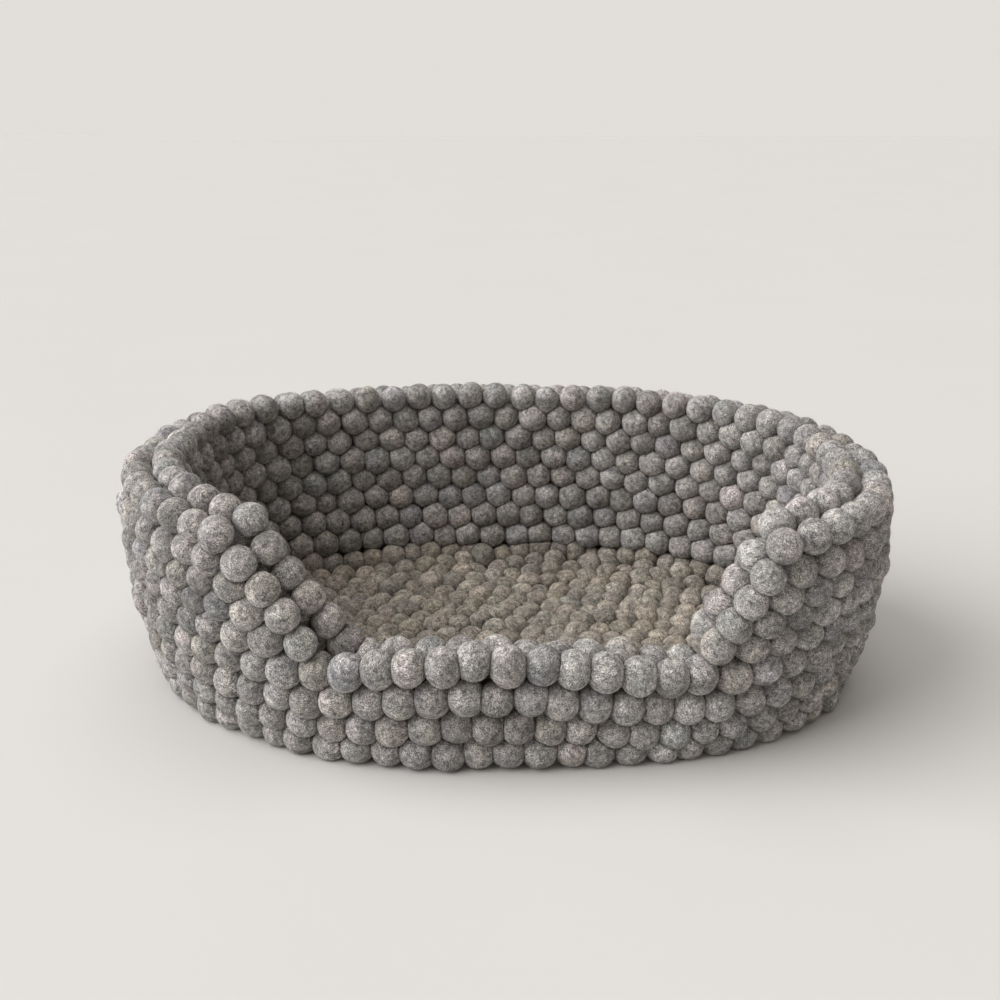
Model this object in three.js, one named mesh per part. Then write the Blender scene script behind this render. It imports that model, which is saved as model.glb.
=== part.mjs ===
// Felted wool pet bed: an oval bed of wool balls sewn side by side. Two leaves of balls, one inside
// the other, make the wall; a mat one ball thick makes the floor; the wall dips at the front.
// Millimetres, +Z up, the floor at z = 0, the entrance towards -Y, the long axis along X.
import * as THREE from "three";

// The balls, as they sit when sewn
const COURSES = 9; // rings of balls in the height of the outer leaf
const SILL_COURSES = 4; // of them, the rings that run on under the entrance
const FIRST_COURSE = 12.4; // height of the middle of the lowest ring
const COURSE_RISE = 18.8; // from one ring to the next: they sit in each other's hollows
const RIM_LIFT = 6.3; // the last ring sits higher: nothing is sewn on above it
const SILL_LIFT = 2.4; // and so does the sill, a little less
const SILL_ARCH = 13; // the sill arches up in its middle
const INNER_LIFT = 5.5; // the inner leaf's rim stands this much higher; at the sill they are level

// The leaves and the mat
const LEAF = 22.6; // thickness of one leaf
const SEAM = 0.6; // between pieces that are sewn together
const MAT = 26; // thickness of the mat
const FOOT_ROUND = 6; // rounding of the lower edges
const RIM_ROUND = LEAF / 2; // rounding of the rim: half a ball

// Plan of the wall's outer face: half width and the depths behind and before its middle, at the
// foot, half way up and at the rim. The back leans out a little, the front corners more.
const HALF_WIDTH = { foot: 283.7, middle: 298.1, rim: 295.3 };
const BACK = { foot: 173.3, middle: 191.8, rim: 196.3 };
const FRONT = { foot: 188.1, middle: 195.5, rim: 208.7 };
const PLAN_MIDDLE_Y = -4.5; // puts the whole bed's middle above the origin

// How square each corner is: 2 is an ellipse, more is squarer
const SQUARENESS = { back: { left: 2.86, right: 2.34 }, front: { left: 1.9, right: 2.36 } };

// No hand sews a true oval: slow waves round it, as shares of its size at the foot and at the rim
const WAVES = [
  { waves: 2, foot: 0.018, rim: 0.002 },
  { waves: 3, foot: -0.014, rim: -0.02 },
];

// The entrance, measured along the wall from the middle of the front
const SILL = { left: -129, right: 154 }; // ends of the low part
const HORNS = { left: -200, right: 207 }; // where the full height begins
const SILL_FILLET = 24;
const HORN_FILLET = 18;
const ARCH_FILLET = 800;

// How finely the curves are cut
const WALL_STEP = 25; // length of wall between two sections
const FILLET_STEPS = 4;
const FACE_STEPS = 7; // up each face of a leaf
const FOOT_STEPS = 2;
const RIM_STEPS = 6; // over the rim
const PLAN_STEPS = 720; // for measuring along the oval

const LAST = COURSES - 1;
const courseHeight = (course) => FIRST_COURSE + course * COURSE_RISE;
const RIM_HEIGHT = courseHeight(LAST) + RIM_LIFT; // middle of the last ring
const SILL_HEIGHT = courseHeight(SILL_COURSES - 1) + SILL_LIFT;

// A smooth curve through the three named sizes, by height
function sizeAt(size, height) {
  const u = (height - FIRST_COURSE) / (LAST * COURSE_RISE);
  return (
    size.foot * (1 - u) * (1 - 2 * u) + size.middle * 4 * u * (1 - u) + size.rim * u * (2 * u - 1)
  );
}

// The outer face's oval at one height: points a little apart and the length run up to each,
// starting at the middle of the front and going round by the +X side
const ovals = new Map();
function ovalAt(height) {
  const key = height.toFixed(3);
  if (ovals.has(key)) return ovals.get(key);
  const width = sizeAt(HALF_WIDTH, height);
  const up = (height - FIRST_COURSE) / (LAST * COURSE_RISE);
  const points = [];
  const run = [0];
  for (let i = 0; i <= PLAN_STEPS; i++) {
    const angle = ((i / PLAN_STEPS) * 2 - 0.5) * Math.PI;
    const behind = Math.sin(angle) > 0;
    const depth = sizeAt(behind ? BACK : FRONT, height);
    const c = Math.cos(angle);
    const s = Math.sin(angle);
    const corners = behind ? SQUARENESS.back : SQUARENESS.front;
    const power = (corners.left * (1 - c) + corners.right * (1 + c)) / 2;
    let r = (Math.abs(c / width) ** power + Math.abs(s / depth) ** power) ** (-1 / power);
    for (const { waves, foot, rim } of WAVES) {
      r *= 1 + THREE.MathUtils.lerp(foot, rim, up) * Math.sin(waves * angle);
    }
    points.push(new THREE.Vector2(r * c, r * s + PLAN_MIDDLE_Y));
    if (i) run.push(run[i - 1] + points[i].distanceTo(points[i - 1]));
  }
  const oval = { points, run, length: run[PLAN_STEPS] };
  ovals.set(key, oval);
  return oval;
}

// A point of the wall: the turn is the share of the way round, the depth is measured inwards
// from the outer face
function wallPoint(turn, height, depth) {
  const { points, run, length } = ovalAt(height);
  const along = (turn - Math.floor(turn)) * length;
  let low = 0;
  let high = PLAN_STEPS;
  while (high - low > 1) {
    const half = (low + high) >> 1;
    if (run[half] <= along) low = half;
    else high = half;
  }
  const part = (along - run[low]) / (run[high] - run[low]);
  const next = points[(low + 2) % PLAN_STEPS];
  const before = points[(low - 1 + PLAN_STEPS) % PLAN_STEPS];
  const way = next.clone().sub(before).normalize();
  const spot = points[low].clone().lerp(points[high], part);
  return new THREE.Vector3(spot.x - way.y * depth, spot.y + way.x * depth, height);
}

const WALL_LENGTH = ovalAt(courseHeight(SILL_COURSES)).length;

// The line the last ring of balls follows: level round the rim, down a slope to the sill, over its
// low arch and up again, its corners rounded. Each stop carries the way square to the line, in the
// wall's face.
function edgeLine() {
  const end = (WALL_LENGTH / 2) * 0.999999;
  const corners = [
    { along: -end, height: RIM_HEIGHT },
    { along: HORNS.left, height: RIM_HEIGHT, fillet: HORN_FILLET },
    { along: SILL.left, height: SILL_HEIGHT, fillet: SILL_FILLET },
    { along: 0, height: SILL_HEIGHT + SILL_ARCH, fillet: ARCH_FILLET },
    { along: SILL.right, height: SILL_HEIGHT, fillet: SILL_FILLET },
    { along: HORNS.right, height: RIM_HEIGHT, fillet: HORN_FILLET },
    { along: end, height: RIM_HEIGHT },
  ].map((corner) => ({ ...corner, spot: new THREE.Vector2(corner.along, corner.height) }));
  const stops = [];
  const stop = (spot, way) =>
    stops.push({ turn: spot.x / WALL_LENGTH, height: spot.y, square: [-way.y, way.x] });
  let from = corners[0].spot;
  for (let i = 1; i < corners.length; i++) {
    const here = corners[i].spot;
    const before = here.clone().sub(corners[i - 1].spot).normalize();
    const to = here.clone();
    let turned = 0;
    let cut = 0;
    if (corners[i].fillet) {
      const after = corners[i + 1].spot.clone().sub(here).normalize();
      turned = Math.atan2(before.cross(after), before.dot(after));
      cut = corners[i].fillet * Math.tan(Math.abs(turned) / 2);
      to.addScaledVector(before, -cut);
    }
    const steps = Math.max(1, Math.round(from.distanceTo(to) / WALL_STEP));
    for (let k = 0; k < steps; k++) stop(from.clone().lerp(to, k / steps), before);
    from = to;
    if (!corners[i].fillet) continue;
    const hub = to.clone().addScaledVector(new THREE.Vector2(-before.y, before.x),
      Math.sign(turned) * corners[i].fillet);
    for (let k = 0; k < FILLET_STEPS; k++) {
      const angle = (turned * k) / FILLET_STEPS;
      stop(to.clone().rotateAround(hub, angle), before.clone().rotateAround(new THREE.Vector2(), angle));
    }
    from = to.clone().rotateAround(hub, turned);
  }
  return stops;
}

// A closed solid skinned over closed sections of equal length, each joined to the next and the
// last to the first
function skin(sections) {
  const count = sections.length;
  const size = sections[0].length;
  const index = [];
  for (let i = 0; i < count; i++) {
    for (let j = 0; j < size; j++) {
      const a = i * size + j;
      const b = i * size + ((j + 1) % size);
      const c = ((i + 1) % count) * size + ((j + 1) % size);
      const d = ((i + 1) % count) * size + j;
      index.push(a, d, b, b, d, c);
    }
  }
  const geometry = new THREE.BufferGeometry().setFromPoints(sections.flat());
  geometry.setIndex(index);
  geometry.computeVertexNormals();
  return geometry;
}

// One leaf of the wall: its outer face lies at the given depth, it stands at the given foot, and
// its rim is lifted
function leafGeometry(depth, foot, rimLift) {
  const length = WALL_LENGTH - 2 * Math.PI * (depth + RIM_ROUND);
  const middle = depth + RIM_ROUND;
  const sections = edgeLine().map(({ turn, height, square }) => {
    const top = height + (rimLift * (height - SILL_HEIGHT)) / (RIM_HEIGHT - SILL_HEIGHT);
    const section = [];
    const put = (z, inward, sideways = 0) =>
      section.push(wallPoint(turn + sideways / length, z, inward));
    for (let k = 0; k <= FOOT_STEPS; k++) {
      const angle = ((k / FOOT_STEPS) * Math.PI) / 2;
      put(foot + FOOT_ROUND * (1 - Math.sin(angle)),
        depth + LEAF - FOOT_ROUND * (1 - Math.cos(angle)));
    }
    for (let k = 0; k <= FOOT_STEPS; k++) {
      const angle = ((k / FOOT_STEPS) * Math.PI) / 2;
      put(foot + FOOT_ROUND * (1 - Math.cos(angle)), depth + FOOT_ROUND * (1 - Math.sin(angle)));
    }
    const rise = top - foot - FOOT_ROUND;
    for (let k = 1; k < FACE_STEPS; k++) put(foot + FOOT_ROUND + (rise * k) / FACE_STEPS, depth);
    for (let k = 0; k <= RIM_STEPS; k++) {
      const angle = (k / RIM_STEPS) * Math.PI;
      const out = RIM_ROUND * Math.sin(angle);
      put(top + out * square[1], middle - RIM_ROUND * Math.cos(angle), out * square[0]);
    }
    for (let k = FACE_STEPS - 1; k > 0; k--) {
      put(foot + FOOT_ROUND + (rise * k) / FACE_STEPS, depth + LEAF);
    }
    return section;
  });
  return skin(sections);
}

// The mat: a flat oval plate that fills the foot of the outer leaf, its edge rounded
function matGeometry() {
  const edge = [
    [0, FOOT_ROUND],
    [FOOT_ROUND, 0],
    [MAT - FOOT_ROUND, 0],
    [MAT, FOOT_ROUND],
  ];
  const points = [];
  const index = [];
  const stops = edgeLine();
  for (const { turn } of stops) {
    for (const [z, inward] of edge) points.push(wallPoint(turn, z, LEAF + SEAM + inward));
  }
  const low = points.push(new THREE.Vector3(0, 0, 0)) - 1;
  const high = points.push(new THREE.Vector3(0, 0, MAT)) - 1;
  for (let i = 0; i < stops.length; i++) {
    const here = i * edge.length;
    const next = ((i + 1) % stops.length) * edge.length;
    for (let j = 0; j < edge.length - 1; j++) {
      index.push(here + j, next + j, here + j + 1, here + j + 1, next + j, next + j + 1);
    }
    index.push(low, next, here, high, here + edge.length - 1, next + edge.length - 1);
  }
  const geometry = new THREE.BufferGeometry().setFromPoints(points);
  geometry.setIndex(index);
  geometry.computeVertexNormals();
  return geometry;
}

const group = new THREE.Group();
group.name = "felt_ball_pet_bed";

function addPiece(name, geometry, color) {
  const wool = new THREE.MeshStandardMaterial({ color, roughness: 0.95, metalness: 0 });
  const piece = new THREE.Mesh(geometry, wool);
  piece.name = name;
  group.add(piece);
}

addPiece("base_mat", matGeometry(), 0x7d756b);
addPiece("outer_leaf", leafGeometry(0, 0, 0), 0x8f8a85);
addPiece("inner_leaf", leafGeometry(LEAF + SEAM, MAT + SEAM, INNER_LIFT), 0x857e76);

export default group;
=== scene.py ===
# %% [markdown]
# # A pet bed sewn from felted wool balls
#
# The real bed is about 1300 balls of undyed grey wool, each rolled wet by hand until the fibres
# lock together, then sewn side by side. Two leaves of balls, one inside the other, make the wall,
# which dips at the front so that the animal can step in. A single layer makes the mat.
#
# The solids of the model are smooth bands and a plate. They say where the wall and the mat are,
# and how big. This lesson puts the balls on them, presses each ball against its neighbours, and
# gives them the look of felt: soft, matt, streaked with lighter and darker fibres, a little hairy.

# %% Load the frame
import math

import bpy
import numpy as np
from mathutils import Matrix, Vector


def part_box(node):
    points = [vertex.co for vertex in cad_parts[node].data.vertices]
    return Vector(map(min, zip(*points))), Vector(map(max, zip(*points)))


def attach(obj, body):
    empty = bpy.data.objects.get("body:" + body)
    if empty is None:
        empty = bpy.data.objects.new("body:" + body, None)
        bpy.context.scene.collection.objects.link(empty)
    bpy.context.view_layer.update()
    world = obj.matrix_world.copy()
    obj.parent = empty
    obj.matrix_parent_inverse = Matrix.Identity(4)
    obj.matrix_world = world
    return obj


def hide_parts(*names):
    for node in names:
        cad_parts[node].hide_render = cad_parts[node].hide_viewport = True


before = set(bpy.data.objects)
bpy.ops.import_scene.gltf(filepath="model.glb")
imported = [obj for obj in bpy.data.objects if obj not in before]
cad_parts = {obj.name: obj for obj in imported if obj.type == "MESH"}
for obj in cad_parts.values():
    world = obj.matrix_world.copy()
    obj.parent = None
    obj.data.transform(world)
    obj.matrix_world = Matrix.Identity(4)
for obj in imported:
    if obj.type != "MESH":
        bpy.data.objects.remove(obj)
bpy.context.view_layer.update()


# %% [markdown]
# ## Sizes
#
# Everything is in metres and hangs on a few sizes of the solids: the half length and half depth
# of the outer leaf, and the height of the mat. The plan of the wall is an oval, and the wall leans
# outwards, so the oval's half width, its depth behind and its depth before the middle change with
# height. Each is given as a share of the solid's own size at the foot, half way up and at the rim,
# and a smooth curve runs through the three.

# %% The bed's own sizes
leaf_low, leaf_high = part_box("outer_leaf")
HALF_LENGTH = (leaf_high.x - leaf_low.x) / 2
HALF_DEPTH = (leaf_high.y - leaf_low.y) / 2
MAT_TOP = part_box("base_mat")[1].z

COURSES = 9  # rings of balls in the height of the outer leaf
SILL = 3  # the last ring that runs on under the entrance, counted from 0 at the floor
RIM = COURSES - 1
FIRST_COURSE = 0.0124  # height of the middle of the lowest ring
COURSE_RISE = 0.0188  # from one ring to the next

# Shares at the foot, half way up and at the rim
HALF_WIDTH = (0.9484, 0.9965, 0.9871)
BACK = (0.8850, 0.9795, 1.0025)
FRONT = (0.9606, 0.9984, 1.0658)
PLAN_MIDDLE_Y = -0.0045  # the front and the back half of the oval meet on this line

# How square each corner is: 2 is an ellipse, more is squarer
SQUARENESS = {"back": {"left": 2.86, "right": 2.34}, "front": {"left": 1.90, "right": 2.36}}

# No hand sews a true oval: slow waves round it, as shares of its size at the foot and at the rim
WAVES = [
    {"waves": 2, "foot": 0.018, "rim": 0.002},
    {"waves": 3, "foot": -0.014, "rim": -0.020},
]


def size_at(shares, size, height):
    """A size of the plan at one height, on the smooth curve through its three shares."""
    foot, middle, rim = shares
    u = (height - FIRST_COURSE) / (RIM * COURSE_RISE)
    return size * (foot * (1 - u) * (1 - 2 * u) + middle * 4 * u * (1 - u) + rim * u * (2 * u - 1))


print(f"half length {HALF_LENGTH:.4f}, half depth {HALF_DEPTH:.4f}, top of the mat {MAT_TOP:.4f}")

# %% [markdown]
# ## A ring's line
#
# A ring of balls follows the oval at its own height, a fixed depth inside the outer face. To put
# equal steps between its balls, the oval is cut into many short pieces, their lengths are added
# up, and a place on it is named by its share of the way round. The share is 0 at the middle of
# the front and grows towards +X.

# %% A ring's line
PLAN_STEPS = 1440


def corner_power(side, across):
    """The squareness between the two corners of one side; across is -1 at the left, 1 at the right."""
    corners = SQUARENESS[side]
    return (corners["left"] * (1 - across) + corners["right"] * (1 + across)) / 2


def ring_line(height, depth):
    """Points along a ring's line, the directions outwards there, the share run up to each point,
    and the length of the whole line."""
    angle = (np.arange(PLAN_STEPS + 1) / PLAN_STEPS * 2 - 0.5) * math.pi
    c, s = np.cos(angle), np.sin(angle)
    behind = s > 0
    width = size_at(HALF_WIDTH, HALF_LENGTH, height)
    reach = np.where(behind, size_at(BACK, HALF_DEPTH, height), size_at(FRONT, HALF_DEPTH, height))
    power = np.where(behind, corner_power("back", c), corner_power("front", c))
    r = (np.abs(c / width) ** power + np.abs(s / reach) ** power) ** (-1 / power)
    up = (height - FIRST_COURSE) / (RIM * COURSE_RISE)
    for wave in WAVES:
        share = wave["foot"] * (1 - up) + wave["rim"] * up
        r = r * (1 + share * np.sin(wave["waves"] * angle))
    face = np.stack([r * c, r * s + PLAN_MIDDLE_Y], 1)
    way = np.roll(face[:-1], -1, 0) - np.roll(face[:-1], 1, 0)
    way = np.concatenate([way, way[:1]])
    way /= np.linalg.norm(way, axis=1)[:, None]
    outwards = np.stack([way[:, 1], -way[:, 0]], 1)
    line = face - outwards * depth
    run = np.concatenate([[0], np.cumsum(np.linalg.norm(np.diff(line, axis=0), axis=1))])
    return line, outwards, run / run[-1], run[-1]


sill_height = FIRST_COURSE + SILL * COURSE_RISE
print("the outer face at the sill's height is", round(ring_line(sill_height, 0)[3], 3), "m round")

# %% [markdown]
# ## Where the balls of the wall sit
#
# Each ring is shifted by half a ball against the one below, so that every ball sits in the hollow
# between two others, as in a honeycomb. The pattern also creeps a little to one side from ring to
# ring, as it does when a hand sews it. Above the sill each ring stops at the entrance, half a ball
# sooner on each side every time, and that makes the two slopes. Balls on the sill, the slopes and
# the rim have nothing sewn on above them, so they stand higher and stay rounder than the others.
#
# Pulled by its thread, a slope gives: its balls lean towards the entrance, sag a little half way
# up, and droop at the top, where the rim ends in a soft horn. The sill arches up in its middle,
# and the wall sags a little at the two corners beside it.
#
# In the table, depth is how far a leaf's middles lie inside the outer face, and left is where its
# sill begins, as a share of the way round. The inner leaf's sill hangs lower than its rings would,
# so it has a drop, a slide along the ring, and balls a little closer together. The rim's ring is
# lifted, and behind, the outer leaf's balls shift so that they sit between those of the inner one.

# %% Rings of the two leaves
LEAVES = {
    "outer": {
        "depth": 0.0120, "count": 66, "first": 0, "left": -0.0850, "sill_balls": 12, "lift": 0.0,
        "arch": 0.0122, "arch_reach": 0.128, "rim_lift": 0.0045, "back_shift": 0.0076,
        "sill": {"drop": 0.0, "slide": 0.0, "tighter": 0.0},
        "corners": {"left": 0.0055, "right": 0.0085},
        "slopes": {"left": {"lean": 0.0058, "sag": -0.0038, "droop": 0.0040},
                   "right": {"lean": 0.0012, "sag": 0.0010, "droop": 0.0040}},
    },
    "inner": {
        "depth": 0.0333, "count": 60, "first": 1, "left": -0.0785, "sill_balls": 11, "lift": 0.0093,
        "arch": 0.0100, "arch_reach": 0.115, "rim_lift": 0.0015, "back_shift": 0.0,
        "sill": {"drop": 0.0110, "slide": 0.0034, "tighter": 0.0004},
        "corners": {"left": 0.0, "right": 0.0},
        "slopes": {"left": {"lean": 0.0035, "sag": -0.0015, "droop": 0.0050},
                   "right": {"lean": 0.0060, "sag": 0.0045, "droop": 0.0050}},
    },
}
CREEP = 0.00125  # share of the way round that the pattern creeps back with each ring
TIGHTER = 0.004  # the balls in front are sewn a little closer together than those behind
SLOPE_FADE = 0.6  # each ball further from a slope takes this share of its neighbour's move
ARCH_GROWS = 2  # the sill's arch fades quickly in the rings below it
FOOT_CREEP = 0.0015  # below the sill the pattern creeps back more
BACK_ONLY = 4  # the power that keeps the back shift to the back
CORNER = (0.005, 0.09, 0.18, 0.28)  # how far along X the front's corners begin, sag most, and end
CORNER_SOFT = 1.5  # the power that eases the sag in from both sides
CORNER_FOOT = 0.4  # how much of a ring's step the lowest ring already shares in the sag
LOW_END = 1.5  # past the sill's last ball by this many steps, its ring is back in its own line
NEAR = 0.25  # two places closer than this many steps are the same place


def lay_ring(leaf, course):
    """The balls of one ring of a leaf: their middles, and the kind that each of them is."""
    kind = LEAVES[leaf]
    above = course - SILL
    steps = np.arange(kind["count"]) + 0.5 * (above % 2)  # counted from the sill's left end
    ends = 0.5 * max(above, 0)
    right, left = kind["sill_balls"] + ends, kind["count"] - ends
    if above > 0:
        steps = steps[(steps > right - NEAR) & (steps < left + NEAR)]
    share = kind["left"] - CREEP * above + steps / kind["count"]
    share -= TIGHTER * np.sin(2 * math.pi * share)
    share += kind["back_shift"] * np.sin(math.pi * share) ** BACK_ONLY + FOOT_CREEP * max(-above, 0)
    low = np.clip(np.minimum(steps, kind["sill_balls"] + LOW_END - steps), 0, 1) * (above <= 0)
    share -= (kind["sill"]["slide"] + kind["sill"]["tighter"] * steps) * low
    height = FIRST_COURSE + COURSE_RISE * course + kind["lift"] + kind["rim_lift"] * (course == RIM)
    z = np.full(len(steps), height)
    if above > 0:
        give = math.sin(math.pi * above / (RIM - SILL))
        for side, way, from_edge in (("right", -1, steps - right), ("left", 1, left - steps)):
            slope = kind["slopes"][side]
            fade = SLOPE_FADE ** from_edge
            share += way * slope["lean"] * give * fade
            z -= (slope["sag"] * give + slope["droop"] * (above / (RIM - SILL)) ** 2) * fade
    line, _, run, _ = ring_line(height, kind["depth"])
    spot = np.stack([np.interp(share % 1.0, run, line[:, i]) for i in range(2)], 1)
    if above <= 0:
        arch = np.clip(1 - (spot[:, 0] / kind["arch_reach"]) ** 2, 0, 1) * (spot[:, 1] < 0)
        z += kind["arch"] * arch * (course / SILL) ** ARCH_GROWS
        z -= kind["sill"]["drop"] * low * course / SILL
        corner = np.interp(np.abs(spot[:, 0]), CORNER, (0, 1, 1, 0)) ** CORNER_SOFT
        corner = corner * (spot[:, 1] < 0)
        sag = np.where(spot[:, 0] < 0, kind["corners"]["left"], kind["corners"]["right"])
        z -= sag * corner * math.sin(math.pi * (course + CORNER_FOOT) / (SILL + 1))
    on_sill = (above == 0) & (steps < right + NEAR)
    on_slope = (above > 0) & ((steps < right + NEAR) | (steps > left - NEAR))
    kinds = np.where(on_sill, "sill", np.where(on_slope | (course == RIM), "free", "wall"))
    return np.column_stack([spot, z]), kinds


wall = {}
for leaf, kind in LEAVES.items():
    wall[leaf] = [lay_ring(leaf, course) for course in range(kind["first"], COURSES)]
    print(leaf, "leaf:", [len(places) for places, _ in wall[leaf]], "balls, ring by ring")

# %% [markdown]
# ## Where the balls of the mat lie
#
# The mat is one layer of smaller balls in rows, each row shifted by half a ball against the next.
# It is cut to the oval that the outer leaf leaves free, so the inner leaf stands on its edge. The
# mat is sewn flat on a table and laid in turned, as it comes, and its rows of hand-sewn balls
# never stay straight, so the grid is turned and bent. Balls near the edge are moved out onto it,
# so that the mat ends in one even ring; they leave a narrow gap behind them in some places.

# %% Rows of the mat
MAT_STEP = 0.0188  # along a row
MAT_ROW = 0.0174  # from row to row
MAT_TURN = math.radians(13)
MAT_EDGE = 0.0305  # how far inside the outer face the mat's last balls lie
MAT_RISE = 0.0008  # the balls' middles lie this much above half the mat's height
EDGE_RISE = 0.0090  # the seam pulls the mat's edge up against the wall
EDGE_REACH = 0.055  # and the rise has died out this far in from its last balls
MAT_BEND = 0.0026  # how far the rows wander
BENDS = {  # one wave's length and start for each way the rows wander, in metres and radians
    "x": {"along_y": 0.045, "start": 0.6, "along_x": 0.11},
    "y": {"along_x": 0.062, "start": 1.1},
    "slant": {"along_x": 0.15, "along_y": 0.07},
}
MAT_LAST = 0.013  # balls that would end up this near the edge are sewn onto it
MAT_EVEN = 0.035  # and from here in the rows keep their places


def lay_mat():
    """The middles of the mat's balls."""
    face, outwards, _, _ = ring_line(MAT_TOP / 2, MAT_EDGE)
    rows = math.ceil(HALF_LENGTH / MAT_ROW)
    column, row = np.meshgrid(np.arange(-rows, rows + 1), np.arange(-rows, rows + 1))
    x = ((column + 0.5 * (row % 2)) * MAT_STEP).ravel()
    y = (row * MAT_ROW).ravel()
    c, s = math.cos(MAT_TURN), math.sin(MAT_TURN)
    x, y = x * c - y * s, x * s + y * c
    one, two, three = BENDS["x"], BENDS["y"], BENDS["slant"]
    bent_x = x + MAT_BEND * np.sin(y / one["along_y"] + one["start"]) * np.cos(x / one["along_x"])
    bent_y = y + MAT_BEND * np.sin(x / two["along_x"] + two["start"])
    bent_y = bent_y + MAT_BEND * np.cos(x / three["along_x"] - y / three["along_y"])
    spot = np.stack([bent_x, bent_y], 1)
    nearest = np.array([np.argmin(((face - p) ** 2).sum(1)) for p in spot])
    inwards = -((spot - face[nearest]) * outwards[nearest]).sum(1)
    moved = np.interp(inwards, (0, MAT_LAST, MAT_EVEN), (0, 0, MAT_EVEN))
    spot += outwards[nearest] * np.where(inwards < MAT_EVEN, inwards - moved, 0)[:, None]
    rise = EDGE_RISE * np.clip(1 - moved / EDGE_REACH, 0, 1) ** 2 * (inwards < EDGE_REACH)
    return np.column_stack([spot, MAT_TOP / 2 + MAT_RISE + rise])[inwards > 0]


mat = lay_mat()
print(len(mat), "balls in the mat")

# %% [markdown]
# ## All balls together
#
# Pressing needs to know every ball's neighbours, in its own leaf, in the other leaf and in the
# mat, so all balls go into one list: middles, sizes, and the piece that each belongs to. A hand
# makes no two balls alike, so each gets a slightly different size and place. The seed of the draws
# is a chosen one: with it the lighter balls fall on the slope left of the entrance and the darker
# ones in front. The piece names are the parts of the bed: the two leaves are cut in two at the
# sill's height to keep each one light.

# %% One list of balls
MOST_SPREAD = 2  # no ball's size is further off than this many spreads
KINDS = {  # radius, how tall for its width, spread of size, and of place in metres
    "wall": {"radius": 0.0136, "tall": 1.0, "sizes": 0.035, "places": 0.0008},
    "sill": {"radius": 0.0131, "tall": 1.12, "sizes": 0.03, "places": 0.0009},
    "free": {"radius": 0.0121, "tall": 1.05, "sizes": 0.02, "places": 0.0007},
    "mat": {"radius": 0.0122, "tall": 1.08, "sizes": 0.07, "places": 0.0014},
}

SEED = 290
rng = np.random.default_rng(SEED)
middles, sizes, talls, owners = [], [], [], []


def add_balls(owner, places, kind):
    """Adds balls to the list, each a little off in size and place."""
    like = KINDS[kind]
    middles.append(places + like["places"] * rng.standard_normal(places.shape))
    off = rng.standard_normal(len(places)).clip(-MOST_SPREAD, MOST_SPREAD)
    sizes.append(like["radius"] * (1 + like["sizes"] * off))
    talls.append(np.full(len(places), like["tall"]))
    owners.extend([owner] * len(places))


for leaf, rings in wall.items():
    for course, (places, kinds) in enumerate(rings, LEAVES[leaf]["first"]):
        half = "lower" if course <= SILL else "upper"
        for kind in ("wall", "sill", "free"):
            add_balls(f"{leaf}_leaf_{half}", places[kinds == kind], kind)
add_balls("base_mat_balls", mat, "mat")

middles = np.concatenate(middles)
sizes = np.concatenate(sizes)
talls = np.concatenate(talls)
owners = np.array(owners)
BALLS = len(middles)
print(BALLS, "balls in all")

# %% [markdown]
# ## One pressed ball
#
# A ball starts as a geodesic sphere: the faces of an icosahedron, each cut into a grid of small
# triangles and blown out to the sphere. It has no poles, so it looks the same from all sides.
#
# Where two balls press on each other, wool gives way on both sides and a flat forms between them.
# So the reach of a ball in any direction is the least of its own radius and the distances to the
# flats. A plain least would leave sharp edges. A soft least, a sum of high powers, rounds them and
# leaves the small creases that show between real balls.

# %% A geodesic sphere
GOLDEN = (1 + math.sqrt(5)) / 2
EDGE_LENGTH = 2.0  # of an icosahedron whose corners are made of 1 and the golden number


def geodesic(frequency):
    """Points and triangles of a sphere of radius 1: each icosahedron edge is cut into that many."""
    corners = []
    for a in (-1, 1):
        for b in (-GOLDEN, GOLDEN):
            corners += [(a, b, 0), (0, a, b), (b, 0, a)]
    corners = np.array(corners, float)
    gap = np.linalg.norm(corners[:, None] - corners[None], axis=2)
    near = gap < EDGE_LENGTH * 1.01
    points, triangles = [], []
    for i in range(12):
        for j in range(i + 1, 12):
            for k in range(j + 1, 12):
                if not (near[i, j] and near[j, k] and near[i, k]):
                    continue
                a, b, c = corners[i], corners[j], corners[k]
                if np.dot(np.cross(b - a, c - a), a) < 0:
                    b, c = c, b
                place = {}
                for u in range(frequency + 1):
                    for v in range(frequency + 1 - u):
                        place[u, v] = len(points)
                        points.append(a + (b - a) * u / frequency + (c - a) * v / frequency)
                for u in range(frequency):
                    for v in range(frequency - u):
                        triangles.append((place[u, v], place[u + 1, v], place[u, v + 1]))
                        if u + v < frequency - 1:
                            triangles.append((place[u + 1, v], place[u + 1, v + 1], place[u, v + 1]))
    points = np.array(points)
    points /= np.linalg.norm(points, axis=1)[:, None]
    _, first, merged = np.unique(points.round(6), axis=0, return_index=True, return_inverse=True)
    return points[first], merged.ravel()[np.array(triangles)]


WALL_SPHERE = geodesic(5)
MAT_SPHERE = geodesic(4)
print("a ball of the wall has", len(WALL_SPHERE[1]), "triangles, one of the mat", len(MAT_SPHERE[1]))

# %% Pressing a ball
TOUCH = 1.02  # balls whose middles are up to this many radii sums apart touch
CREASE = 30  # the power of the soft least: higher is a sharper crease
MATTED = 1.045  # where two balls press, their fibres run a little into each other
LUMPS = 4  # soft dents and swellings on each ball
LUMP_SIZE = 0.015  # their height, as a share of the radius
LUMP_WAVES = 1.6  # about how many radians of wave a radius of the ball spans


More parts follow.
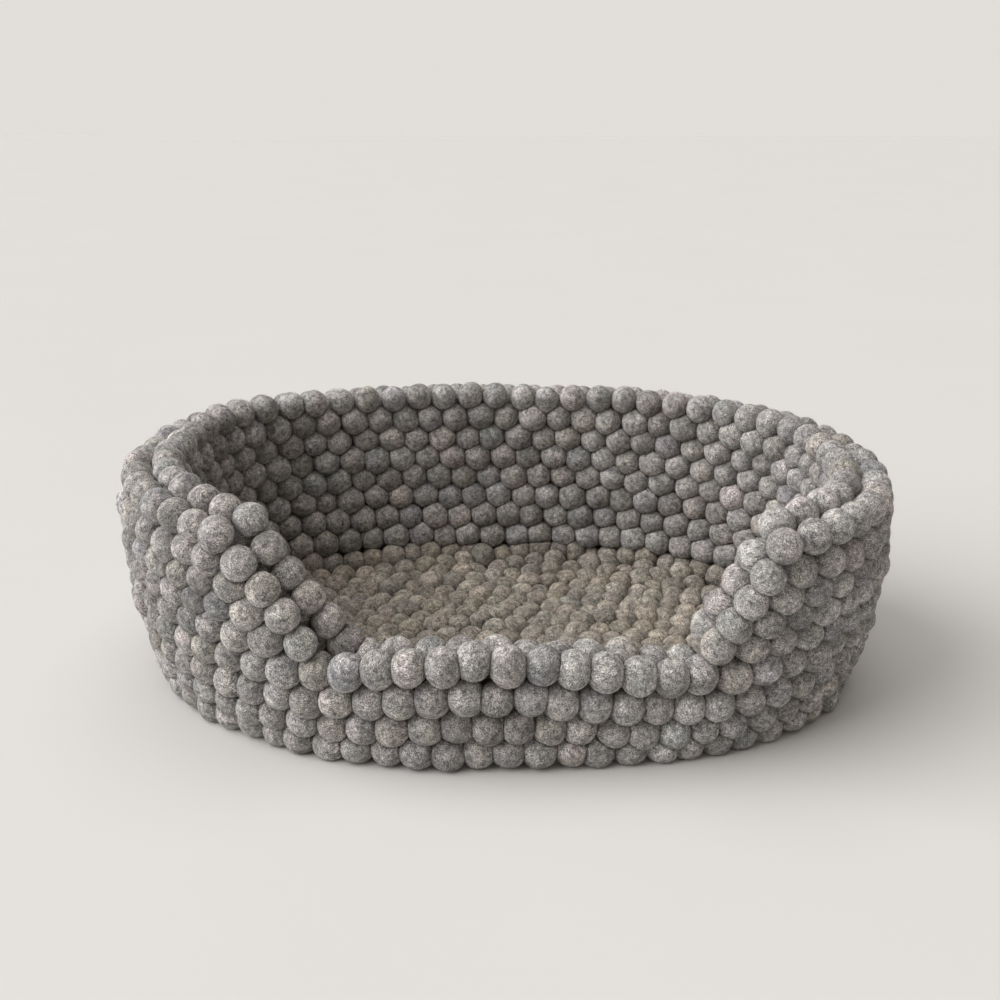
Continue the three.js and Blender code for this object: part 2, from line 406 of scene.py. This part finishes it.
def turned(generator):
    """A random turn, as a matrix."""
    q = generator.standard_normal(4)
    w, x, y, z = q / np.linalg.norm(q)
    return np.array([
        [1 - 2 * (y * y + z * z), 2 * (x * y - z * w), 2 * (x * z + y * w)],
        [2 * (x * y + z * w), 1 - 2 * (x * x + z * z), 2 * (y * z - x * w)],
        [2 * (x * z - y * w), 2 * (y * z + x * w), 1 - 2 * (x * x + y * y)],
    ])


def flats_around(i):
    """Directions to what presses on ball i, and how far from its middle each flat lies."""
    way = middles - middles[i]
    gap = np.linalg.norm(way, axis=1)
    touching = (gap < TOUCH * (sizes + sizes[i])) & (gap > 0)
    directions = way[touching] / gap[touching][:, None]
    reach = MATTED * gap[touching] * sizes[i] / (sizes[i] + sizes[touching])
    return np.vstack([directions, [0, 0, -1]]), np.append(reach, middles[i, 2])


def pressed(i, sphere):
    """The points of ball i, pressed against its neighbours, the same points on its round form
    before it was turned, which carry the wool's pattern, the rays out to them, and how open each
    is: 1 where nothing presses on it."""
    turn = turned(rng)
    rays = sphere @ turn.T
    radius = sizes[i] / np.linalg.norm(rays / [1, 1, talls[i]], axis=1)
    for _ in range(LUMPS):
        wave = rng.standard_normal(3) * LUMP_WAVES
        shift = rng.uniform(0, 2 * math.pi)
        radius *= 1 + LUMP_SIZE * np.sin(rays @ wave + shift)
    directions, reach = flats_around(i)
    facing = np.clip(rays @ directions.T, 0, None) / reach
    reach_out = (radius ** -CREASE + (facing ** CREASE).sum(1)) ** (-1 / CREASE)
    return middles[i] + rays * reach_out[:, None], sphere * sizes[i], rays, reach_out / radius


print("ball 0 is pressed from", len(flats_around(0)[1]), "sides")

# %% [markdown]
# ## The pieces
#
# Every ball is a closed surface of its own, and the balls of one piece are joined into one mesh.
# Besides its place, each point carries what the wool's pattern needs: where it lies in the ball's
# own wool, with a random shift so that no two balls repeat, and the ball's own tone. Each ball was
# rolled from another handful of fleece, so some are darker, some warmer, and some a little lilac.
# Down in the seams, where the balls shade each other, the colour is darkened as well: that is
# painted shade, carried together with the tone.

# %% Joining balls into pieces
SHADE_SPREAD = 0.105  # from ball to ball, as a share of the wool's lightness
MOST_SHADE = 2.2  # no ball is further off than this many spreads
TINTS = np.array([(0.014, 0.0, -0.02), (0.004, -0.006, 0.004)])  # towards warm, towards lilac
PATTERN_ROOM = 3.0  # the random shift of a ball's pattern
SEAM_OPEN = (0.960, 0.991)  # from the bottom of a seam to where the ball stands free
SEAM_PAINTED_SHADE = {"wall": 0.18, "mat": 0.6}  # painted shade: the share of the wool's lightness left down in a seam


def joined_mesh(name, points, triangles, values):
    """One mesh object from arrays, with smooth shading and named values on its points."""
    mesh = bpy.data.meshes.new(name)
    mesh.vertices.add(len(points))
    mesh.vertices.foreach_set("co", points.astype(np.float32).ravel())
    mesh.loops.add(triangles.size)
    mesh.loops.foreach_set("vertex_index", triangles.astype(np.int32).ravel())
    mesh.polygons.add(len(triangles))
    mesh.polygons.foreach_set("loop_start", np.arange(0, triangles.size, 3, dtype=np.int32))
    mesh.update(calc_edges=True)
    mesh.shade_smooth()
    for key, value in values.items():
        vector = value.ndim == 2
        attribute = mesh.attributes.new(key, "FLOAT_VECTOR" if vector else "FLOAT", "POINT")
        attribute.data.foreach_set("vector" if vector else "value", value.astype(np.float32).ravel())
    piece = bpy.data.objects.new(name, mesh)
    bpy.context.scene.collection.objects.link(piece)
    return piece


spread = rng.standard_normal((BALLS, 3)).clip(-MOST_SHADE, MOST_SHADE)
shades = (1 + SHADE_SPREAD * spread[:, :1]) * (1 + spread[:, 1:] @ TINTS)


def ball_piece(name):
    """The piece of that name, built from its balls, and what its fuzz grows from."""
    in_mat = name == "base_mat_balls"
    sphere, faces = MAT_SPHERE if in_mat else WALL_SPHERE
    seam_painted_shade = SEAM_PAINTED_SHADE["mat" if in_mat else "wall"]
    points, rays, openness, triangles, wool, tone_and_seam_shade = [], [], [], [], [], []
    for count, i in enumerate(np.flatnonzero(owners == name)):
        place, round_place, ray, is_open = pressed(i, sphere)
        points.append(place)
        rays.append(ray)
        openness.append(is_open)
        triangles.append(faces + count * len(sphere))
        wool.append(round_place + rng.uniform(0, PATTERN_ROOM, 3))
        # painted shade: the colour darkens towards the bottom of each seam
        seam_shade = np.interp(is_open, SEAM_OPEN, (seam_painted_shade, 1))
        tone_and_seam_shade.append(seam_shade[:, None] * shades[i])
    skin = {
        "points": np.concatenate(points), "rays": np.concatenate(rays),
        "open": np.concatenate(openness), "tone_and_seam_shade": np.concatenate(tone_and_seam_shade),
    }
    values = {"wool_place": np.concatenate(wool), "wool_tone_and_seam_shade": skin["tone_and_seam_shade"]}
    return joined_mesh(name, skin["points"], np.concatenate(triangles), values), skin


pieces, skins = {}, {}
for name in dict.fromkeys(owners):
    pieces[name], skins[name] = ball_piece(name)
    print(name, len(pieces[name].data.polygons), "triangles")

# %% [markdown]
# ## Fuzz
#
# Rolling never catches every fibre. Short loose ends lie curled on the balls and blur their
# outlines, most of all against the light. Each hair here is a narrow curved strip of three
# triangles that starts just inside a ball where nothing presses on it, leaves it at a low angle
# and curls. It is wider than a real fibre, so that a few do the work of many.

# %% Hairs
HAIRS = {"base_mat_balls": 12000, "outer_leaf_lower": 24000, "outer_leaf_upper": 38000,
         "inner_leaf_lower": 12000, "inner_leaf_upper": 34000}
HAIR_LENGTH = (0.0016, 0.0042)
HAIR_WIDTH = 0.00013
HAIR_LIFT = 0.5  # how steeply it leaves the ball
HAIR_LIFT_SPREAD = (0.1, 1.6)  # from the flattest to the steepest, as shares of that
HAIR_CURL = 0.7  # how far its outer half turns from its inner half
ROOT_SPREAD = 0.0006  # roots are scattered by this much about the points of the ball
ROOT_DEPTH = 0.0003  # and start this deep
OPEN = 0.965  # only where the ball is this open


def unit(vectors):
    """Vectors brought to length 1."""
    return vectors / np.linalg.norm(vectors, axis=1)[:, None]


def fuzz_piece(name, skin, count):
    """The loose hairs on one piece of balls."""
    roots = rng.choice(np.flatnonzero(skin["open"] > OPEN), count)
    out = skin["rays"][roots]
    length = rng.uniform(*HAIR_LENGTH, count)[:, None]
    start = skin["points"][roots] + ROOT_SPREAD * rng.standard_normal((count, 3)) - ROOT_DEPTH * out
    along = unit(np.cross(out, rng.standard_normal((count, 3))))
    first = unit(along + HAIR_LIFT * rng.uniform(*HAIR_LIFT_SPREAD, (count, 1)) * out)
    second = unit(first + HAIR_CURL * rng.standard_normal((count, 3)))
    middle = start + first * length / 2
    tip = middle + second * length / 2
    aside = unit(np.cross(first, rng.standard_normal((count, 3)))) * HAIR_WIDTH / 2
    points = np.stack([start - aside, start + aside, middle - aside, middle + aside, tip], 1)
    strip = np.array([(0, 1, 2), (2, 1, 3), (2, 3, 4)])
    triangles = (np.arange(count)[:, None, None] * points.shape[1] + strip).reshape(-1, 3)
    # each hair takes its root's tone, painted seam shade included
    return joined_mesh(name.replace("_balls", "") + "_fuzz", points.reshape(-1, 3), triangles, {
        "wool_tone_and_seam_shade": np.repeat(skin["tone_and_seam_shade"][roots], points.shape[1], axis=0),
    })


fuzz = {name: fuzz_piece(name, skins[name], count) for name, count in HAIRS.items()}
print(sum(HAIRS.values()), "hairs")

# %% [markdown]
# ## Felt
#
# Felt is a mat of fibres. Close to, each ball shows light and dark hairs that wander in all
# directions over a fine grain, with soft darker patches where the fleece was unevenly coloured.
# A smooth noise passes through its middle value along thin winding lines, so the material draws
# a hair wherever a noise is near its middle. Four such noises, two for light hairs and two for
# dark ones, make the tangle, and the same hairs raise the relief. Felt doesn't shine, but hairs
# that stand up catch light at the edge of a ball, and sheen gives that.

# %% Small helpers for materials
def add_node(tree, kind, inputs=None, **settings):
    """A shader node with its settings and inputs set; an input that is a socket is linked."""
    node = tree.nodes.new(kind)
    for key, value in settings.items():
        setattr(node, key, value)
    for key, value in (inputs or {}).items():
        if isinstance(value, bpy.types.NodeSocket):
            tree.links.new(value, node.inputs[key])
        else:
            node.inputs[key].default_value = value
    return node


def maths(tree, operation, first, second, third=None):
    """The result of a calculation on sockets or numbers."""
    inputs = {0: first, 1: second}
    if third is not None:
        inputs[2] = third
    return add_node(tree, "ShaderNodeMath", inputs, operation=operation).outputs[0]


def between(tree, value, low, high, to_low=0.0, to_high=1.0):
    """A value's place between low and high, as a value between to_low and to_high."""
    inputs = {"Value": value, "From Min": low, "From Max": high, "To Min": to_low, "To Max": to_high}
    return add_node(tree, "ShaderNodeMapRange", inputs).outputs[0]


def noise(tree, place, scale, detail=2.0, roughness=0.5):
    """Smooth noise at that many features a metre."""
    inputs = {"Vector": place, "Scale": scale, "Detail": detail, "Roughness": roughness}
    return add_node(tree, "ShaderNodeTexNoise", inputs)


def new_material(name):
    """A new material, its node tree and its shader."""
    material = bpy.data.materials.new(name)
    material.use_nodes = True
    return material, material.node_tree, material.node_tree.nodes["Principled BSDF"]


def set_finish(shader, values):
    """Sets the plain numbers and colours of a finish on a shader."""
    for key, value in values.items():
        shader.inputs[key].default_value = value


def blend_colours(tree, share, first, second, blend_type="MIX"):
    """Two colours mixed by share."""
    node = add_node(tree, "ShaderNodeMix", {"Factor": share}, data_type="RGBA", blend_type=blend_type)
    for socket, colour in ((node.inputs[6], first), (node.inputs[7], second)):
        if isinstance(colour, bpy.types.NodeSocket):
            tree.links.new(colour, socket)
        else:
            socket.default_value = (*colour, 1)
    return node.outputs[2]


# %% The wool felt
HAIR_STRETCH = 0.36  # hairs run further along one axis of a ball than across it
LIGHT_HAIRS = [  # features a metre, turn in radians, width as a share of the noise
    {"scale": 650, "turn": 0.4, "width": 0.06},
    {"scale": 850, "turn": 1.7, "width": 0.06},
]
DARK_HAIRS = [
    {"scale": 760, "turn": 2.6, "width": 0.05},
    {"scale": 240, "turn": 0.9, "width": 0.013},
]
LIGHT_SHARE = 0.5  # how much of its own colour a light hair shows
DARK_SHARE = 0.8
SPECKS = {  # features a metre, the noise's range that counts, and the lightness it gives
    "grain": {"scale": 1200, "detail": 2, "range": (0.3, 0.7), "lightness": (0.38, 1.52)},
    "mottle": {"scale": 280, "detail": 2, "range": (0.3, 0.6), "lightness": (0.52, 1.14)},
    "patches": {"scale": 80, "detail": 1, "range": (0.3, 0.7), "lightness": (0.72, 1.24)},
}
PATCH_CAST = 0.05  # how far the colour drifts from patch to patch of one ball
GREY = (0.5, 0.5, 0.5)
RELIEF = {"mottle": 1.5, "strength": 0.8, "depth": 0.0006}  # the mottle's weight, and the bump's
FELT_FINISH = {
    "Roughness": 0.95, "Specular IOR Level": 0.15,
    "Sheen Weight": 0.12, "Sheen Roughness": 0.6, "Sheen Tint": (0.9, 0.88, 0.86, 1),
}
FUZZ_FINISH = {"Roughness": 0.9, "Specular IOR Level": 0.2}


def hairs(tree, wool, scale, turn, width):
    """Winding lines: 1 in the middle of a hair and 0 beside it; the width is a share of noise."""
    place = add_node(tree, "ShaderNodeMapping", {
        "Vector": wool, "Rotation": (turn, 2 * turn, 0), "Scale": (1, 1, HAIR_STRETCH),
    })
    value = noise(tree, place.outputs[0], scale, detail=0.5, roughness=0.4).outputs[0]
    off = maths(tree, "ABSOLUTE", maths(tree, "SUBTRACT", value, 0.5), 0)
    return between(tree, off, 0, width, 1, 0)


def times(tree, colour, factor):
    """A colour multiplied by a number or by another colour."""
    if isinstance(factor, bpy.types.NodeSocket) and factor.type == "VALUE":
        factor = add_node(tree, "ShaderNodeCombineColor", {0: factor, 1: factor, 2: factor}).outputs[0]
    return blend_colours(tree, 1.0, colour, factor, "MULTIPLY")


def felt(name, base, dark, light):
    """A felt of that base colour with dark and light hairs."""
    material, tree, shader = new_material(name)
    wool = add_node(tree, "ShaderNodeAttribute", attribute_name="wool_place").outputs["Vector"]
    tone_and_seam_shade = add_node(tree, "ShaderNodeAttribute", attribute_name="wool_tone_and_seam_shade").outputs["Color"]

    light_hairs = maths(tree, "MAXIMUM", *[hairs(tree, wool, **row) for row in LIGHT_HAIRS])
    dark_hairs = maths(tree, "MAXIMUM", *[hairs(tree, wool, **row) for row in DARK_HAIRS])
    colour = blend_colours(tree, maths(tree, "MULTIPLY", light_hairs, LIGHT_SHARE), base, light)
    colour = blend_colours(tree, maths(tree, "MULTIPLY", dark_hairs, DARK_SHARE), colour, dark)
    specks = {}
    for name, row in SPECKS.items():
        specks[name] = noise(tree, wool, row["scale"], detail=row["detail"])
        lightness = between(tree, specks[name].outputs[0], *row["range"], *row["lightness"])
        colour = times(tree, colour, lightness)
    cast = blend_colours(tree, PATCH_CAST, GREY, specks["patches"].outputs["Color"])
    colour = times(tree, colour, blend_colours(tree, 1.0, cast, GREY, "DIVIDE"))
    # the ball's tone, with painted shade in its seams
    tree.links.new(times(tree, colour, tone_and_seam_shade), shader.inputs["Base Color"])

    grain, mottle = specks["grain"].outputs[0], specks["mottle"].outputs[0]
    height = maths(tree, "SUBTRACT", maths(tree, "ADD", light_hairs, grain), dark_hairs)
    height = maths(tree, "MULTIPLY_ADD", mottle, RELIEF["mottle"], height)
    relief = {"Height": height, "Strength": RELIEF["strength"], "Distance": RELIEF["depth"]}
    bump = add_node(tree, "ShaderNodeBump", relief)
    tree.links.new(bump.outputs[0], shader.inputs["Normal"])
    set_finish(shader, FELT_FINISH)
    return material


def fuzz_felt(name, colour):
    """Loose hairs: one colour, times the tone of the ball they grow from, with its painted seam shade.
    """
    material, tree, shader = new_material(name)
    tone_and_seam_shade = add_node(tree, "ShaderNodeAttribute", attribute_name="wool_tone_and_seam_shade").outputs["Color"]
    tree.links.new(times(tree, colour, tone_and_seam_shade), shader.inputs["Base Color"])
    set_finish(shader, FUZZ_FINISH)
    return material


# %% The wools of this bed
WALL_WOOL = {
    "base": (0.510, 0.486, 0.470), "dark": (0.05, 0.047, 0.046), "light": (0.68, 0.665, 0.65),
}
# the same wool as the wall's, tinted warmer: painted warm light bounced inside the bed
MAT_WOOL_WARM_LIT = {
    "base": (0.428, 0.384, 0.324), "dark": (0.08, 0.069, 0.057), "light": (0.49, 0.445, 0.395),
}
FUZZ_COLOUR = (0.52, 0.50, 0.485)

wall_felt = felt("wall_felt", **WALL_WOOL)
mat_felt_warm_lit = felt("mat_felt_warm_lit", **MAT_WOOL_WARM_LIT)
fuzz_wool = fuzz_felt("fuzz_wool", FUZZ_COLOUR)
for name, piece in pieces.items():
    piece.data.materials.append(mat_felt_warm_lit if name == "base_mat_balls" else wall_felt)
    fuzz[name].data.materials.append(fuzz_wool)
print("materials:", wall_felt.name, mat_felt_warm_lit.name, fuzz_wool.name)

# %% [markdown]
# ## Fitting the pieces to the frame
#
# Nothing on this bed moves, so every piece rides on the one body, and the smooth solid
# that each piece stands for is hidden. The balls are tight and springy, like a well-filled cushion.

# %% Fitting
NODES = ("base_mat", "outer_leaf", "inner_leaf")

for name, piece in pieces.items():
    node = next(node for node in NODES if name.startswith(node))
    for part in (piece, fuzz[name]):
        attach(part, "root")
        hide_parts(node)
    print(name, "stands for", node)

# %% [markdown]
# ## Floor and light
#
# A plain pale floor that runs far out, and soft even light as from one large window: a broad light
# from the left, above and a little in front, and a pale room all round. Near the horizon the room
# is as bright as the floor is from the front, so that there the two run into one.

# %% Floor
FLOOR_HALF = 12.0
FLOOR_COLOUR = (0.56, 0.555, 0.545)
FLOOR_MOTTLE = {"scale": 3.0, "detail": 3, "darker": 0.96}
FLOOR_ROUGHNESS = 0.7


def stage_material(name, colour):
    """A plain matt finish with a faint mottling, so that it isn't perfectly even."""
    material, tree, shader = new_material(name)
    place = add_node(tree, "ShaderNodeTexCoord").outputs["Object"]
    mottle = noise(tree, place, FLOOR_MOTTLE["scale"], detail=FLOOR_MOTTLE["detail"]).outputs[0]
    darker = tuple(FLOOR_MOTTLE["darker"] * c for c in colour)
    tree.links.new(blend_colours(tree, mottle, darker, colour), shader.inputs["Base Color"])
    set_finish(shader, {"Roughness": FLOOR_ROUGHNESS})
    return material


def flat_square(name, half):
    """A level square at the height of the floor."""
    mesh = bpy.data.meshes.new(name)
    corners = [(-half, -half, 0), (half, -half, 0), (half, half, 0), (-half, half, 0)]
    mesh.from_pydata(corners, [], [(0, 1, 2, 3)])
    square = bpy.data.objects.new(name, mesh)
    bpy.context.scene.collection.objects.link(square)
    return square


floor = flat_square("floor", FLOOR_HALF)
floor.data.materials.append(stage_material("pale_floor", FLOOR_COLOUR))

# %% Light
SOFTNESS = math.radians(60)
SUNS = {
    "window": {"way": (-1.1, -0.16, 0.8), "strength": 3.75, "colour": (1.0, 0.995, 0.99)},
    "ceiling": {"way": (0.0, 0.1, 1.0), "strength": 1.35, "colour": (1.0, 0.985, 0.96)},
}


def soft_sun(name, way, strength, colour):
    """An even light from far off; way points towards it, and its wide spread softens shadows."""
    lamp = bpy.data.lights.new(name, "SUN")
    lamp.angle = SOFTNESS
    lamp.energy = strength
    lamp.color = colour
    holder = bpy.data.objects.new(name, lamp)
    side, depth, rise = way
    from_overhead = math.atan2(math.hypot(side, depth), rise)
    holder.rotation_euler = (from_overhead, 0, math.atan2(-side, depth) + math.pi)
    bpy.context.scene.collection.objects.link(holder)


for name, sun in SUNS.items():
    soft_sun(name, **sun)
print("lights:", *SUNS)

# %% The pale room
HORIZON = (0.756, 0.729, 0.695)
ROOM = (0.26, 0.235, 0.21)
HORIZON_BAND = (0.08, 0.25)  # how high above the horizon the room darkens, 1 is overhead

world = bpy.data.worlds.new("pale_room")
world.use_nodes = True
tree = world.node_tree
ray = add_node(tree, "ShaderNodeTexCoord").outputs["Generated"]
height = add_node(tree, "ShaderNodeSeparateXYZ", {0: ray}).outputs["Z"]
sky = blend_colours(tree, between(tree, height, *HORIZON_BAND), HORIZON, ROOM)
tree.links.new(sky, tree.nodes["Background"].inputs["Color"])
bpy.context.scene.world = world
bpy.context.scene.view_settings.view_transform = "Standard"

# %% [markdown]
# ## Camera
#
# The camera stands before the bed at about the height of a seated person's knees, a little under
# a metre from its middle, and looks down into it.

# %% Camera
CAMERA_PLACE = (0.0158, -0.8156, 0.4389)
CAMERA_TILT = math.radians(20.71)  # below the horizon
CAMERA_TURN = math.radians(1.146)  # to the left
CAMERA_LENS = 38.6  # millimetres, as is the width of the sensor
SENSOR_WIDTH = 36.0

camera_data = bpy.data.cameras.new("camera")
camera_data.lens = CAMERA_LENS
camera_data.sensor_width = SENSOR_WIDTH
camera = bpy.data.objects.new("camera", camera_data)
camera.location = CAMERA_PLACE
camera.rotation_euler = (math.pi / 2 - CAMERA_TILT, 0, CAMERA_TURN)
bpy.context.scene.collection.objects.link(camera)
bpy.context.scene.camera = camera

# %% [markdown]
# ## Finish
#
# The bed of balls may stand a little proud of the solids, as soft wool does. The last cell
# brings the scene up to date.

# %% Finish
bpy.context.view_layer.update()
